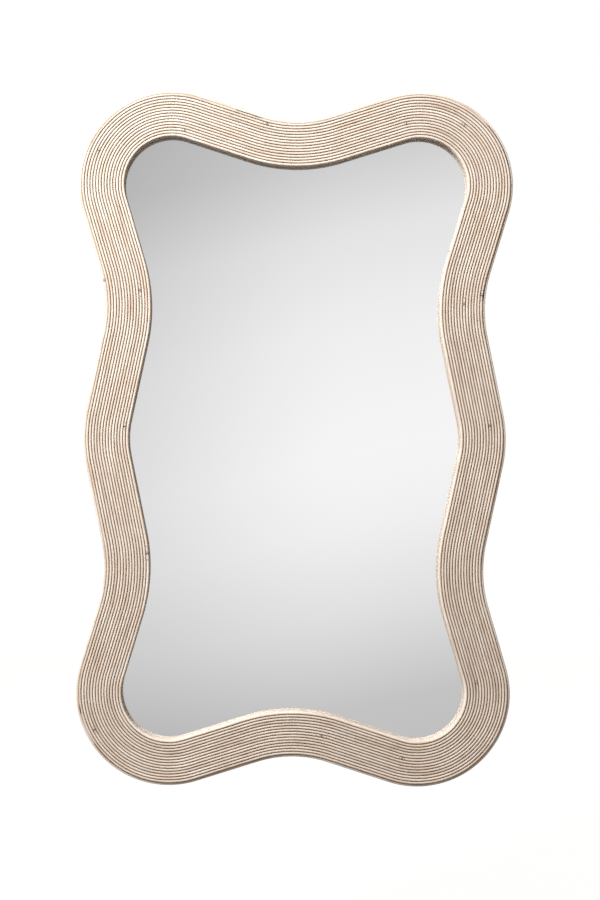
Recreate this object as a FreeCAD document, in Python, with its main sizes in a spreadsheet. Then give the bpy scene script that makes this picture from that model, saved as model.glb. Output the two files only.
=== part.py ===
"""Irregular shaped wall mirror: a wavy board frame wrapped in parallel rattan reeds.

Frame of the part: X to the right and Z up as the viewer sees it, Y towards the wall.
The origin is the middle of the back panel's outer face. All sizes are in millimetres.
"""
import FreeCAD, Part
import math
import os
import Sketcher

Vector = FreeCAD.Vector
Rotation = FreeCAD.Rotation
Placement = FreeCAD.Placement

doc = FreeCAD.newDocument("wavy_mirror")

# ---------------------------------------------------------------- driving dimensions
# alias: (value, what it is). Each value can be changed by itself.
SIZES = {
    # the wavy outline, seen from the front: four-fold symmetric bends joined by straight runs
    "corner_x": (218.0, "centre of a corner lobe, sideways"),
    "corner_z": (446.5, "centre of a corner lobe, upwards"),
    "corner_radius": (163.0, "radius of a corner lobe"),
    "top_dip_radius": (200.0, "radius of the hollow in the top and bottom edge"),
    "top_dip_depth": (51.5, "deepest point of that hollow, inside the lobes"),
    "side_dip_radius": (226.0, "radius of a hollow in the side"),
    "side_dip_depth": (48.0, "deepest point of that hollow, inside the lobes"),
    "side_dip_raise": (5.75, "that hollow, above halfway up to the lobe's centre"),
    "bulge_radius": (233.0, "radius of the bulge at mid height"),
    "bulge_depth": (10.0, "crown of that bulge, inside the lobes"),
    # rattan reeds
    "reed_diameter": (4.9, "round rattan core"),
    "reed_gap": (0.1, "between neighbouring reeds"),
    "glue_flat": (0.15, "how deep the reed is flattened where it is glued down"),
    "edge_overhang": (0.4, "how far the outermost front reed stands over the board's edge"),
    "side_setback": (0.6, "first side reed's axis behind the front board's face"),
    "joint_gap": (0.6, "gap where the two ends of a reed meet"),
    "pin_diameter": (1.1, "brad beside a reed's end"),
    "pin_length": (16.0, "length of that brad"),
    "pin_sunk": (0.25, "how far the brad's top is sunk below the reed's crest"),
    "tight_fit": (0.02, "between a brad or a screw's shank and its hole"),
    # boards, glass and back, in depth
    "front_board_thickness": (22.0, "front ring"),
    "rear_board_thickness": (6.0, "rear ring, as deep as the glass rebate"),
    "lining_thickness": (1.5, "strip bent round the inner wall"),
    "glass_thickness": (4.0, "mirror glass"),
    "glass_lap": (9.0, "glass behind the front board, all round"),
    "glass_clearance": (1.5, "glass to the rear board, all round"),
    "pad_width": (12.0, "foam tape behind the glass"),
    "pad_margin": (2.0, "foam tape from the edge of the glass"),
    "panel_thickness": (3.0, "back panel"),
    "panel_inset": (26.0, "back panel's edge from the outside of the frame"),
    # screws
    "screw_margin": (12.0, "screw row from the back panel's edge"),
    "screw_shank": (2.9, "diameter of a screw's shank"),
    "screw_length": (13.0, "length under the head"),
    "screw_hole": (3.4, "hole in the panel or a strap"),
    "screw_head": (6.4, "diameter of a screw's head"),
    "screw_head_height": (1.8, "height of a screw's head"),
    "recess_width": (0.9, "arm of the cross recess"),
    "recess_length": (3.4, "across the cross recess"),
    "recess_depth": (1.0, "depth of the cross recess"),
    # hangers
    "strap_width": (12.0, "hanger strap"),
    "strap_thickness": (1.2, "hanger strap"),
    "strap_end": (8.0, "second screw to the strap's round tip"),
    "strap_screw_room": (1.55, "between the hanging ring and the first screw's head"),
    "strap_screw_spacing": (13.0, "between the two screws of a strap"),
    "ring_wire": (2.5, "diameter of the ring's wire"),
    "ring_inside_width": (18.0, "inside the ring, along its straight side"),
    "ring_inside_height": (14.0, "inside the ring, from its straight side to its bow"),
    "ring_corner": (2.6, "bend radius of the wire's centre line beside the straight side"),
    "ring_play": (0.08, "between the ring's wire and the strap's eye"),
    "ring_rest_gap": (0.3, "between the hanging ring and its strap"),
    # wall bumpers
    "bumper_height": (6.0, "distance from the back panel to the wall"),
    "bumper_diameter": (12.0, "at the panel"),
    "bumper_face": (9.0, "at the wall"),
    "bumper_margin": (14.0, "bumper's centre from the back panel's edge"),
}

FRONT_REED_COUNT = 15
LAST_FRONT_REED = FRONT_REED_COUNT - 1

# cells worked out from the driving dimensions: alias, formula. Depths run towards the wall.
DERIVED = {
    # the centres of the hollows and of the bulge follow the corner lobes and their own radii
    "top_dip_z": "corner_z + corner_radius - top_dip_depth + top_dip_radius",
    "side_dip_x": "corner_x + corner_radius - side_dip_depth + side_dip_radius",
    "side_dip_z": "corner_z / 2 + side_dip_raise",
    "bulge_x": "corner_x + corner_radius - bulge_depth - bulge_radius",
    "reed_pitch": "reed_diameter + reed_gap",
    "reed_radius": "reed_diameter / 2",
    "reed_seat": "reed_radius - glue_flat",
    "board_inset": "reed_radius + reed_seat",
    "first_reed_inset": "board_inset - edge_overhang + reed_radius",
    "band_width": f"first_reed_inset + {LAST_FRONT_REED} * reed_pitch + reed_pitch / 2",
    "window_inset": "band_width - lining_thickness",
    "glass_inset": "window_inset - glass_lap",
    "rebate_inset": "glass_inset - glass_clearance",
    "pad_inset": "glass_inset + pad_margin",
    "pad_thickness": "rear_board_thickness - glass_thickness",
    "panel_front_y": "-panel_thickness",
    "rear_board_front_y": "panel_front_y - rear_board_thickness",
    "board_front_y": "rear_board_front_y - front_board_thickness",
    "front_reed_y": "board_front_y - reed_seat",
    "screw_inset": "panel_inset + screw_margin",
    "bumper_inset": "panel_inset + bumper_margin",
    "wire_radius": "ring_wire / 2",
    "eye_inner_radius": "wire_radius + ring_play",
    "eye_outer_radius": "eye_inner_radius + strap_thickness",
    "ring_axis_y": "strap_thickness + ring_rest_gap + wire_radius",
    "ring_half_width": "ring_inside_width / 2 + wire_radius",
    "ring_height": "ring_inside_height + ring_wire",
    "strap_first_screw": "ring_height + wire_radius + strap_screw_room + screw_head / 2",
    "strap_last_screw": "strap_first_screw + strap_screw_spacing",
    "strap_reach": "strap_last_screw + strap_end",
    "hanger_x": "side_dip_x - side_dip_radius - (board_inset + rebate_inset) / 2",
    "hanger_z": "side_dip_z + strap_reach / 2",
}

sheet = doc.addObject("Spreadsheet::Sheet", "sizes")
for row, (alias, (value, meaning)) in enumerate(SIZES.items(), start=1):
    sheet.set(f"A{row}", alias)
    sheet.set(f"B{row}", str(value))
    sheet.set(f"C{row}", meaning)
    sheet.setAlias(f"B{row}", alias)
for row, (alias, formula) in enumerate(DERIVED.items(), start=len(SIZES) + 1):
    sheet.set(f"A{row}", alias)
    sheet.set(f"B{row}", "=" + formula)
    sheet.setAlias(f"B{row}", alias)
doc.recompute()


def size(alias):
    """The number that a cell of the sheet holds."""
    return float(getattr(sheet, alias))


def in_sheet(formula):
    """A formula with the sheet's name written in front of every alias."""
    result = ""
    word = ""
    for letter in formula + " ":
        if letter.isalnum() or letter == "_":
            word += letter
            continue
        known = word in SIZES or word in DERIVED
        result += f"sizes.{word}{letter}" if known else word + letter
        word = ""
    return result.strip()


def bind(item, **formulas):
    """Bind properties of an object to the sheet."""
    for name, formula in formulas.items():
        item.setExpression(name, in_sheet(formula))


def put(item, x, y, z, rotation=Rotation()):
    """Place an object at coordinates that are bound to the sheet."""
    item.Placement = Placement(Vector(0, 0, 0), rotation)
    for axis, formula in zip("xyz", (x, y, z)):
        item.setExpression(f".Placement.Base.{axis}", in_sheet(formula))


def add(kind, label):
    """A new object of the document, named and labelled alike."""
    item = doc.addObject(kind, label)
    item.Label = label
    return item


def cut(label, base, tools):
    """Base without the tools."""
    result = add("Part::Cut", label)
    result.Base = base
    result.Tool = tools[0] if len(tools) == 1 else group(label + "_tools", tools)
    return result


def fuse(label, items):
    """Several shapes as one solid."""
    result = add("Part::MultiFuse", label)
    result.Shapes = items
    result.Refine = True
    return result


def group(label, items):
    """Several pieces that stay separate solids in one object."""
    result = add("Part::Compound", label)
    result.Links = items
    return result


def cylinder(label, radius, height, place, rotation=Rotation()):
    """A cylinder bound to the sheet, with its foot at a place."""
    item = add("Part::Cylinder", label)
    bind(item, Radius=radius, Height=height)
    put(item, *place, rotation)
    return item


def box(label, length, width, height, place):
    """A box bound to the sheet, from its lowest corner."""
    item = add("Part::Box", label)
    bind(item, Length=length, Width=width, Height=height)
    put(item, *place)
    return item


TO_WALL = Rotation(Vector(1, 0, 0), -90)
TO_VIEWER = Rotation(Vector(1, 0, 0), 90)
TO_RIGHT = Rotation(Vector(0, 1, 0), 90)

# ---------------------------------------------------------------- the wavy outline
# A bend: its name in the sheet, the side it lies on (x, z) and how it turns (+1 bulges, -1 dips in).
BENDS = [
    ("bulge", 1, 0, 1),
    ("side_dip", 1, 1, -1),
    ("corner", 1, 1, 1),
    ("top_dip", 0, 1, -1),
    ("corner", -1, 1, 1),
    ("side_dip", -1, 1, -1),
    ("bulge", -1, 0, 1),
    ("side_dip", -1, -1, -1),
    ("corner", -1, -1, 1),
    ("top_dip", 0, -1, -1),
    ("corner", 1, -1, 1),
    ("side_dip", 1, -1, -1),
]


def bend_centre(bend):
    """Centre of a bend on the drawing plane."""
    name, side_x, side_z, turn = bend
    x = side_x * size(name + "_x") if side_x else 0.0
    z = side_z * size(name + "_z") if side_z else 0.0
    return Vector(x, z, 0)


def bend_radius(bend):
    """Radius of a bend on the outside of the frame."""
    return size(bend[0] + "_radius")


def bend_facing(bend):
    """Direction from a bend's centre to the middle of its arc, in degrees from +X towards +Z."""
    name, side_x, side_z, turn = bend
    if name == "top_dip":
        return -90.0 * side_z
    if name == "side_dip":
        return 180.0 if side_x > 0 else 0.0
    return math.degrees(math.atan2(side_z, side_x))


def tangent_run(first, second):
    """Ends of the straight run from one bend to the next, going round anticlockwise."""
    first_reach = first[3] * bend_radius(first)
    second_reach = second[3] * bend_radius(second)
    across = bend_centre(second) - bend_centre(first)
    offset = second_reach - first_reach
    length = math.sqrt(across.Length ** 2 - offset ** 2)
    angle = math.atan2(across.y, across.x) - math.atan2(offset, length)
    left = Vector(-math.sin(angle), math.cos(angle), 0)
    return bend_centre(first) - left * first_reach, bend_centre(second) - left * second_reach


def bend_arc(bend, enters, leaves):
    """The arc of a bend, drawn anticlockwise about its own centre."""
    centre = bend_centre(bend)
    first = math.atan2(enters.y - centre.y, enters.x - centre.x)
    last = math.atan2(leaves.y - centre.y, leaves.x - centre.x)
    if bend[3] < 0:
        first, last = last, first
    if last < first:
        last += 2 * math.pi
    return Part.ArcOfCircle(Part.Circle(centre, Vector(0, 0, 1), bend_radius(bend)), first, last)


# a sketch's own numbers for its origin and its axes
ORIGIN = (-1, 1)
X_AXIS = -1
Y_AXIS = -2
# a sketch counts the points of an arc or a line in this order
POINTS = ("edge", "start", "end", "centre")
START = POINTS.index("start")
END = POINTS.index("end")
CENTRE = POINTS.index("centre")


def bound_constraint(sketch, formula, *constraint):
    """Add a constraint to a sketch and bind its value to the sheet."""
    index = sketch.addConstraint(Sketcher.Constraint(*constraint))
    sketch.setExpression(f"Constraints[{index}]", in_sheet(formula))


def wavy_outline():
    """The outside of the frame as one closed sketch: an arc for each bend, a line for each run."""
    sketch = add("Sketcher::SketchObject", "outline")
    count = len(BENDS)
    runs = [tangent_run(BENDS[i], BENDS[(i + 1) % count]) for i in range(count)]
    for i, bend in enumerate(BENDS):
        sketch.addGeometry(bend_arc(bend, runs[i - 1][1], runs[i][0]))
        sketch.addGeometry(Part.LineSegment(*runs[i]))
    for i, bend in enumerate(BENDS):
        arc = 2 * i
        run = arc + 1
        next_arc = (arc + 2) % (2 * count)
        leaves = END if bend[3] > 0 else START
        enters = START if BENDS[(i + 1) % count][3] > 0 else END
        sketch.addConstraint(Sketcher.Constraint("Tangent", arc, leaves, run, START))
        sketch.addConstraint(Sketcher.Constraint("Tangent", run, END, next_arc, enters))
    for i, bend in enumerate(BENDS):
        place_bend(sketch, 2 * i, bend)
    sketch.Placement = Placement(Vector(0, 0, 0), TO_VIEWER)
    return sketch


def place_bend(sketch, arc, bend):
    """Constrain a bend's radius and centre."""
    name, side_x, side_z, turn = bend
    centre = bend_centre(bend)
    bound_constraint(sketch, name + "_radius", "Radius", arc, bend_radius(bend))
    if side_x == 0:
        sketch.addConstraint(Sketcher.Constraint("PointOnObject", arc, CENTRE, Y_AXIS))
    else:
        pair = (*ORIGIN, arc, CENTRE) if side_x > 0 else (arc, CENTRE, *ORIGIN)
        bound_constraint(sketch, name + "_x", "DistanceX", *pair, abs(centre.x))
    if side_z == 0:
        sketch.addConstraint(Sketcher.Constraint("PointOnObject", arc, CENTRE, X_AXIS))
    else:
        pair = (*ORIGIN, arc, CENTRE) if side_z > 0 else (arc, CENTRE, *ORIGIN)
        bound_constraint(sketch, name + "_z", "DistanceY", *pair, abs(centre.y))


outline = wavy_outline()
doc.recompute()


def inset_outline(label, inset, level):
    """The outline moved inwards and set at a depth: a closed wire of concentric arcs and runs."""
    wire = add("Part::Offset2D", label)
    wire.Source = outline
    wire.Join = "Tangent"
    bind(wire, Value=f"-({inset})")
    put(wire, "0", level, "0")
    return wire


def plate(label, inset, front, thickness):
    """A wavy plate whose front face lies at a depth and which runs back towards the wall."""
    solid = add("Part::Extrusion", label)
    solid.Base = inset_outline(label + "_edge", inset, front)
    solid.DirMode = "Custom"
    solid.Dir = Vector(0, 1, 0)
    solid.Solid = True
    bind(solid, LengthFwd=thickness)
    return solid


def ring_plate(label, outer_inset, inner_inset, front, thickness, holes=()):
    """A wavy ring with straight walls, and any holes in it."""
    outer = plate(label + "_outer", outer_inset, front, thickness)
    inner = plate(label + "_window", inner_inset, front, thickness)
    return cut(label, outer, [inner, *holes])


def around(bend, angle, inset, level):
    """Formulas of a point on a bend, turned from the middle of its arc, at an inset and a depth."""
    name, side_x, side_z, turn = bend
    direction = bend_facing(bend) + angle
    centre_x = f"{side_x} * {name}_x" if side_x else "0"
    centre_z = f"{side_z} * {name}_z" if side_z else "0"
    reach = f"({name}_radius - ({turn}) * ({inset}))"
    return (f"{centre_x} + {reach} * cos({direction} deg)",
            level,
            f"{centre_z} + {reach} * sin({direction} deg)")


# ---------------------------------------------------------------- reeds
# Where the two ends of each reed meet: the bend, and the turn from the middle of its arc in degrees.
# They are spread round the frame, so that no two joints lie side by side.
FRONT_JOINTS = [
    (1, -6.0), (3, -14.0), (8, -18.0), (4, 21.0), (0, 7.0),
    (2, 9.0), (1, -2.0), (9, -12.0), (10, -58.0), (2, 58.0),
    (10, 56.0), (5, 6.0), (4, -58.0), (6, -7.0), (7, 5.0),
]
SIDE_JOINTS = [(5, 12.0), (10, -20.0), (6, 8.0), (2, -14.0), (8, 20.0), (3, -9.0)]
PIN_TURN = 2.2

INTO_BOARD = Vector(0, 1, 0)
INTO_FRAME = Vector(0, 0, -1)


def reed_section(label, inset, level, glued_towards):
    """A reed's round section with its glue flat, standing across the middle of the top edge."""
    sketch = add("Sketcher::SketchObject", label)
    radius = size("reed_radius")
    seat = size("reed_seat")
    half_flat = math.sqrt(radius ** 2 - seat ** 2)
    opening = math.atan2(half_flat, seat)
    circle = Part.Circle(Vector(0, 0, 0), Vector(0, 0, 1), radius)
    arc = sketch.addGeometry(Part.ArcOfCircle(circle, opening, 2 * math.pi - opening))
    flat = sketch.addGeometry(Part.LineSegment(Vector(seat, -half_flat, 0), Vector(seat, half_flat, 0)))
    sketch.addConstraint(Sketcher.Constraint("Coincident", arc, CENTRE, *ORIGIN))
    sketch.addConstraint(Sketcher.Constraint("Coincident", arc, START, flat, END))
    sketch.addConstraint(Sketcher.Constraint("Coincident", arc, END, flat, START))
    sketch.addConstraint(Sketcher.Constraint("Vertical", flat))
    bound_constraint(sketch, "reed_radius", "Radius", arc, radius)
    bound_constraint(sketch, "reed_seat", "DistanceX", *ORIGIN, flat, END, seat)
    across = Vector(1, 0, 0).cross(glued_towards)
    turn = Rotation(glued_towards, across, Vector(1, 0, 0), "XYZ")
    put(sketch, "0", level, f"top_dip_z - top_dip_radius - ({inset})", turn)
    return sketch


def reed(label, inset, level, glued_towards, openings):
    """A reed bent once round the frame, without its end gap and its brad holes."""
    path = inset_outline(label + "_path", inset, level)
    section = reed_section(label + "_section", inset, level, glued_towards)
    doc.recompute()
    loop = add("Part::Sweep", label + "_loop")
    loop.Sections = [section]
    loop.Spine = (path, [f"Edge{i + 1}" for i in range(len(path.Shape.Edges))])
    loop.Solid = True
    return cut(label, loop, openings)


def end_gap(label, inset, level, joint):
    """What is cut out between the two ends of a reed: a thin slice across it."""
    bend = BENDS[joint[0]]
    along_reed = Rotation(Vector(0, 1, 0), -(bend_facing(bend) + joint[1]))
    return cylinder(label, "reed_diameter", "joint_gap", around(bend, joint[1], inset, level), along_reed)


def front_pin(label, radius, inset, joint, turn):
    """A brad driven through a front reed towards the wall, or its hole."""
    start = "front_reed_y - reed_radius + pin_sunk"
    place = around(BENDS[joint[0]], joint[1] + turn, inset, start)
    return cylinder(label, radius, "pin_length", place, TO_WALL)


def side_pin(label, radius, level, joint, turn):
    """A brad driven through a side reed towards the middle of its bend's board, or its hole."""
    bend = BENDS[joint[0]]
    direction = math.radians(bend_facing(bend) + joint[1] + turn)
    inwards = Vector(math.cos(direction), 0, math.sin(direction)) * -bend[3]
    place = around(bend, joint[1] + turn, "pin_sunk", level)
    return cylinder(label, radius, "pin_length", place, Rotation(Vector(0, 0, 1), inwards))


PIN_RADIUS = "pin_diameter / 2"
PIN_HOLE_RADIUS = "pin_diameter / 2 + tight_fit"
pins = []
pin_holes = []
reeds = []

for i, joint in enumerate(FRONT_JOINTS):
    label = f"front_reed_{i + 1:02d}"
    inset = f"first_reed_inset + {i} * reed_pitch"
    openings = [end_gap(label + "_gap", inset, "front_reed_y", joint)]
    for end, turn in (("a", -PIN_TURN), ("b", PIN_TURN)):
        pins.append(front_pin(f"{label}_pin_{end}", PIN_RADIUS, inset, joint, turn))
        openings.append(front_pin(f"{label}_hole_{end}", PIN_HOLE_RADIUS, inset, joint, turn))
    pin_holes += openings[1:]
    reeds.append(reed(label, inset, "front_reed_y", INTO_BOARD, openings))

for i, joint in enumerate(SIDE_JOINTS):
    label = f"side_reed_{i + 1:02d}"
    level = f"board_front_y + side_setback + {i} * reed_pitch"
    openings = [end_gap(label + "_gap", "reed_radius", level, joint)]
    for end, turn in (("a", -PIN_TURN), ("b", PIN_TURN)):
        pins.append(side_pin(f"{label}_pin_{end}", PIN_RADIUS, level, joint, turn))
        openings.append(side_pin(f"{label}_hole_{end}", PIN_HOLE_RADIUS, level, joint, turn))
    pin_holes += openings[1:]
    reeds.append(reed(label, "reed_radius", level, INTO_FRAME, openings))

reed_pins = group("reed_pins", pins)

# ---------------------------------------------------------------- screws
# Back panel screws on each kind of bend, as turns from the middle of its arc in degrees. The middle of
# a side hollow is left free for the hangers.
SCREW_TURNS = {
    "bulge": (0.0,),
    "side_dip": (-16.0, 16.0),
    "corner": (-50.0, 0.0, 50.0),
    "top_dip": (0.0,),
}


def screw(label, place):
    """A pan-head screw with a cross recess, driven from the back: place is under its head."""
    x, y, z = place
    shank = cylinder(label + "_shank", "screw_shank / 2", "screw_length", place, TO_VIEWER)
    head = cylinder(label + "_head", "screw_head / 2", "screw_head_height", place, TO_WALL)
    recess_y = f"{y} + screw_head_height - recess_depth"
    long_arm = f"{x} - recess_length / 2"
    short_arm = f"{x} - recess_width / 2"
    flat_arm = box(label + "_arm_x", "recess_length", "recess_depth", "recess_width",
                   (long_arm, recess_y, f"{z} - recess_width / 2"))
    upright_arm = box(label + "_arm_z", "recess_width", "recess_depth", "recess_length",
                      (short_arm, recess_y, f"{z} - recess_length / 2"))
    body = fuse(label + "_body", [shank, head])
    recess = fuse(label + "_recess", [flat_arm, upright_arm])
    return cut(label, body, [recess])


def screw_holes(label, place, panel_y):
    """The hole in what the screw holds down and the tight hole in the boards behind it."""
    x, y, z = place
    wide = cylinder(label + "_wide_hole", "screw_hole / 2", f"{y} - panel_front_y", place, TO_VIEWER)
    tight = cylinder(label + "_tight_hole", "screw_shank / 2 + tight_fit", "screw_length", place, TO_VIEWER)
    return wide, tight


def panel_screw_places():
    """Where the back panel is screwed on, going round the frame."""
    return [around(bend, turn, "screw_inset", "0") for bend in BENDS for turn in SCREW_TURNS[bend[0]]]


def hanger_screw_places(side):
    """The two screws of a hanger, on top of its strap."""
    below = ("strap_first_screw", "strap_last_screw")
    return [(f"{side} * hanger_x", "strap_thickness", f"hanger_z - {distance}") for distance in below]


panel_screws = []
hanger_screws = []
wide_holes = []
tight_holes = []
for i, place in enumerate(panel_screw_places()):
    label = f"panel_screw_{i + 1:02d}"
    panel_screws.append(screw(label, place))
    wide, tight = screw_holes(label, place, "0")
    wide_holes.append(wide)
    tight_holes.append(tight)

SIDES = {"left": -1, "right": 1}
strap_holes = {}
for name, side in SIDES.items():
    strap_holes[name] = []
    for i, place in enumerate(hanger_screw_places(side)):
        label = f"hanger_screw_{name}_{i + 1}"
        hanger_screws.append(screw(label, place))
        wide, tight = screw_holes(label, place, "strap_thickness")
        strap_holes[name].append(wide)
        wide_holes.append(wide)
        tight_holes.append(tight)

group("panel_screws", panel_screws)
group("hanger_screws", hanger_screws)

# ---------------------------------------------------------------- boards, lining, glass and back
ring_plate("front_board", "board_inset", "window_inset", "board_front_y", "front_board_thickness",
           [*pin_holes, *tight_holes])
ring_plate("rear_board", "board_inset", "rebate_inset", "rear_board_front_y", "rear_board_thickness",
           [*pin_holes[2 * FRONT_REED_COUNT:], *tight_holes])
ring_plate("inner_lining", "window_inset", "band_width", "board_front_y", "front_board_thickness")
ring_plate("glass_pad", "pad_inset", "pad_inset + pad_width", "panel_front_y - pad_thickness",
           "pad_thickness")
plate("mirror_glass", "glass_inset", "rear_board_front_y", "glass_thickness")
cut("back_panel", plate("panel_blank", "panel_inset", "panel_front_y", "panel_thickness"), wide_holes)

# ---------------------------------------------------------------- hangers


def hanger_strap(name, side):
    """A steel strap, screwed to the back, whose upper end is rolled into an eye for the ring."""
    x = f"{side} * hanger_x"
    flat = box(f"strap_{name}_flat", "strap_width", "strap_thickness", "strap_reach - strap_width / 2",
               (f"{x} - strap_width / 2", "0", "hanger_z - strap_reach + strap_width / 2"))
    round_end = cylinder(f"strap_{name}_round_end", "strap_width / 2", "strap_thickness",
                         (x, "0", "hanger_z - strap_reach + strap_width / 2"), TO_WALL)
    eye_start = (f"{x} - strap_width / 2", "ring_axis_y", "hanger_z")
    roll = cylinder(f"strap_{name}_roll", "eye_outer_radius", "strap_width", eye_start, TO_RIGHT)
    bore = cylinder(f"strap_{name}_bore", "eye_inner_radius", "strap_width", eye_start, TO_RIGHT)
    blank = fuse(f"strap_{name}_blank", [flat, round_end, roll])
    return cut(f"hanger_strap_{name}", blank, [bore, *strap_holes[name]])


def ring_path(label):
    """The centre line of the ring's wire, hanging from the middle of its straight side."""
    sketch = add("Sketcher::SketchObject", label)
    half = size("ring_half_width")
    height = size("ring_height")
    corner = size("ring_corner")
    bow_y = half - height
    top = sketch.addGeometry(Part.LineSegment(Vector(corner - half, 0, 0), Vector(half - corner, 0, 0)))
    right = sketch.addGeometry(Part.LineSegment(Vector(half, -corner, 0), Vector(half, bow_y, 0)))
    left = sketch.addGeometry(Part.LineSegment(Vector(-half, bow_y, 0), Vector(-half, -corner, 0)))
    bow = sketch.addGeometry(Part.ArcOfCircle(
        Part.Circle(Vector(0, bow_y, 0), Vector(0, 0, 1), half), math.pi, 2 * math.pi))
    right_bend = sketch.addGeometry(Part.ArcOfCircle(
        Part.Circle(Vector(half - corner, -corner, 0), Vector(0, 0, 1), corner), 0, math.pi / 2))
    left_bend = sketch.addGeometry(Part.ArcOfCircle(
        Part.Circle(Vector(corner - half, -corner, 0), Vector(0, 0, 1), corner), math.pi / 2, math.pi))
    for first, first_point, second, second_point in (
            (top, END, right_bend, END), (right_bend, START, right, START), (right, END, bow, END),
            (bow, START, left, START), (left, END, left_bend, END), (left_bend, START, top, START)):
        sketch.addConstraint(Sketcher.Constraint("Tangent", first, first_point, second, second_point))
    sketch.addConstraint(Sketcher.Constraint("PointOnObject", top, START, X_AXIS))
    sketch.addConstraint(Sketcher.Constraint("Horizontal", top))
    sketch.addConstraint(Sketcher.Constraint("PointOnObject", bow, CENTRE, Y_AXIS))
    bound_constraint(sketch, "ring_half_width", "Radius", bow, half)
    bound_constraint(sketch, "ring_corner", "Radius", right_bend, corner)
    bound_constraint(sketch, "ring_corner", "Radius", left_bend, corner)
    bound_constraint(sketch, "ring_height - ring_half_width", "DistanceY", bow, CENTRE, *ORIGIN, -bow_y)
    return sketch


def hanger_ring(name, side):
    """A D-shaped wire ring that swings in its strap's eye and hangs down over the strap."""
    label = f"hanger_ring_{name}"
    place = (f"{side} * hanger_x", "ring_axis_y", "hanger_z")
    path = ring_path(label + "_path")
    put(path, *place, TO_VIEWER)
    section = add("Part::Circle", label + "_section")
    bind(section, Radius="wire_radius")
    put(section, *place, TO_RIGHT)
    doc.recompute()
    ring = add("Part::Sweep", label)
    ring.Sections = [section]
    ring.Spine = (path, [f"Edge{i + 1}" for i in range(len(path.Shape.Edges))])
    ring.Solid = True


for name, side in SIDES.items():
    hanger_strap(name, side)
    hanger_ring(name, side)

# ---------------------------------------------------------------- wall bumpers
BUMPER_TURN = 25.0


def bumper(label, bend):
    """A rubber bumper that narrows towards the wall, between the screws of a corner lobe."""
    name, side_x, side_z, turn = bend
    item = add("Part::Cone", label)
    bind(item, Radius1="bumper_diameter / 2", Radius2="bumper_face / 2", Height="bumper_height")
    put(item, *around(bend, BUMPER_TURN * side_x * side_z, "bumper_inset", "0"), TO_WALL)
    return item


corners = [bend for bend in BENDS if bend[0] == "corner"]
group("wall_bumpers", [bumper(f"bumper_{i + 1}", bend) for i, bend in enumerate(corners)])
doc.recompute()

# ---------------------------------------------------------------- checks and export
NODES = [
    *[item.Label for item in reeds], "reed_pins",
    "front_board", "rear_board", "inner_lining", "mirror_glass", "glass_pad", "back_panel", "panel_screws",
    "hanger_strap_left", "hanger_strap_right", "hanger_ring_left", "hanger_ring_right", "hanger_screws",
    "wall_bumpers",
]

for item in doc.Objects:
    if "Invalid" in item.State or "Error" in item.State:
        raise RuntimeError(f"{item.Label} failed: {item.State}")

shapes = {}
for label in NODES:
    shape = doc.getObject(label).Shape
    if shape.isNull() or not shape.isValid() or not shape.Solids:
        raise RuntimeError(f"{label} has no valid solid")
    shapes[label] = shape

os.makedirs("parts", exist_ok=True)
for label, shape in shapes.items():
    shape.exportStep(f"parts/{label}.step")
    extent = shape.BoundBox
    print(f"{label:20s} solids {len(shape.Solids):3d}  volume {shape.Volume:12.1f}  "
          f"{extent.XLength:8.2f} x {extent.YLength:7.2f} x {extent.ZLength:8.2f}")
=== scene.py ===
# %% [markdown]
# # A wavy wall mirror wrapped in rattan reeds
# The imported model brings the mirror's pieces in one frame: X to the right, Z up, Y towards the wall.
# It is loaded first. Nothing made here may stand out of that box.

import math

import bmesh
import bpy
import numpy as np
from mathutils import Matrix, Vector


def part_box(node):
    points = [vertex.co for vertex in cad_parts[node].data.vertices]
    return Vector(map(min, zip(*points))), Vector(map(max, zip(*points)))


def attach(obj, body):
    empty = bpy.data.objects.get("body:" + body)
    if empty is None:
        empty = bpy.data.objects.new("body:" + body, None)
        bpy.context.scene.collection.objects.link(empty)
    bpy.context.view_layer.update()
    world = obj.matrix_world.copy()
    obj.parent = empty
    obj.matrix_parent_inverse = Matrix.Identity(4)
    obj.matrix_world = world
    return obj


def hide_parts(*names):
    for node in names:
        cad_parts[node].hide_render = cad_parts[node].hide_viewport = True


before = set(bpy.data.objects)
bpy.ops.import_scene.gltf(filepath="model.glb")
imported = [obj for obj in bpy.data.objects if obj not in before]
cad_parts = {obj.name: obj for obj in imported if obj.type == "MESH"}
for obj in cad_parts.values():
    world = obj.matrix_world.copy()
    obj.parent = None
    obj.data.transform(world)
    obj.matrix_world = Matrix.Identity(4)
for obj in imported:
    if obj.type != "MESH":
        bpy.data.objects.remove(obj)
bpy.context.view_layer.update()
MM = 0.001

# %% [markdown]
# ## Camera
# The photograph looks straight at the mirror from about 3.6 m, level with its middle and a little left of
# it: the inner wall shows 1.5 px wide on the left and 3 px on the right. A small shift brings the mirror
# to its place in the frame. A roll of a third of a degree repeats its slight lean in the photograph.

# %% Camera
camera_data = bpy.data.cameras.new("camera")
camera_data.lens = 81.26
camera_data.sensor_width = 36.0
camera_data.sensor_fit = "AUTO"
camera_data.shift_x = 0.0441
camera_data.shift_y = 0.0064
camera = bpy.data.objects.new("camera", camera_data)
camera.location = (-0.06, -3.6, -0.03)
camera.rotation_euler = (math.radians(90), math.radians(-0.354), 0)
bpy.context.scene.collection.objects.link(camera)
bpy.context.scene.camera = camera
bpy.context.scene.view_settings.view_transform = "Standard"
print("camera at", tuple(round(v, 3) for v in camera.location))

# %% [markdown]
# ## The wavy edge
# The outline is a chain of round bends with straight runs between them, the same on all four quarters.
# Every reed follows it at its own distance inwards, so one helper walks along the edge at any inset. A
# bulging bend gets a smaller radius further in, and a hollow gets a larger one, about the same centre.

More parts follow.
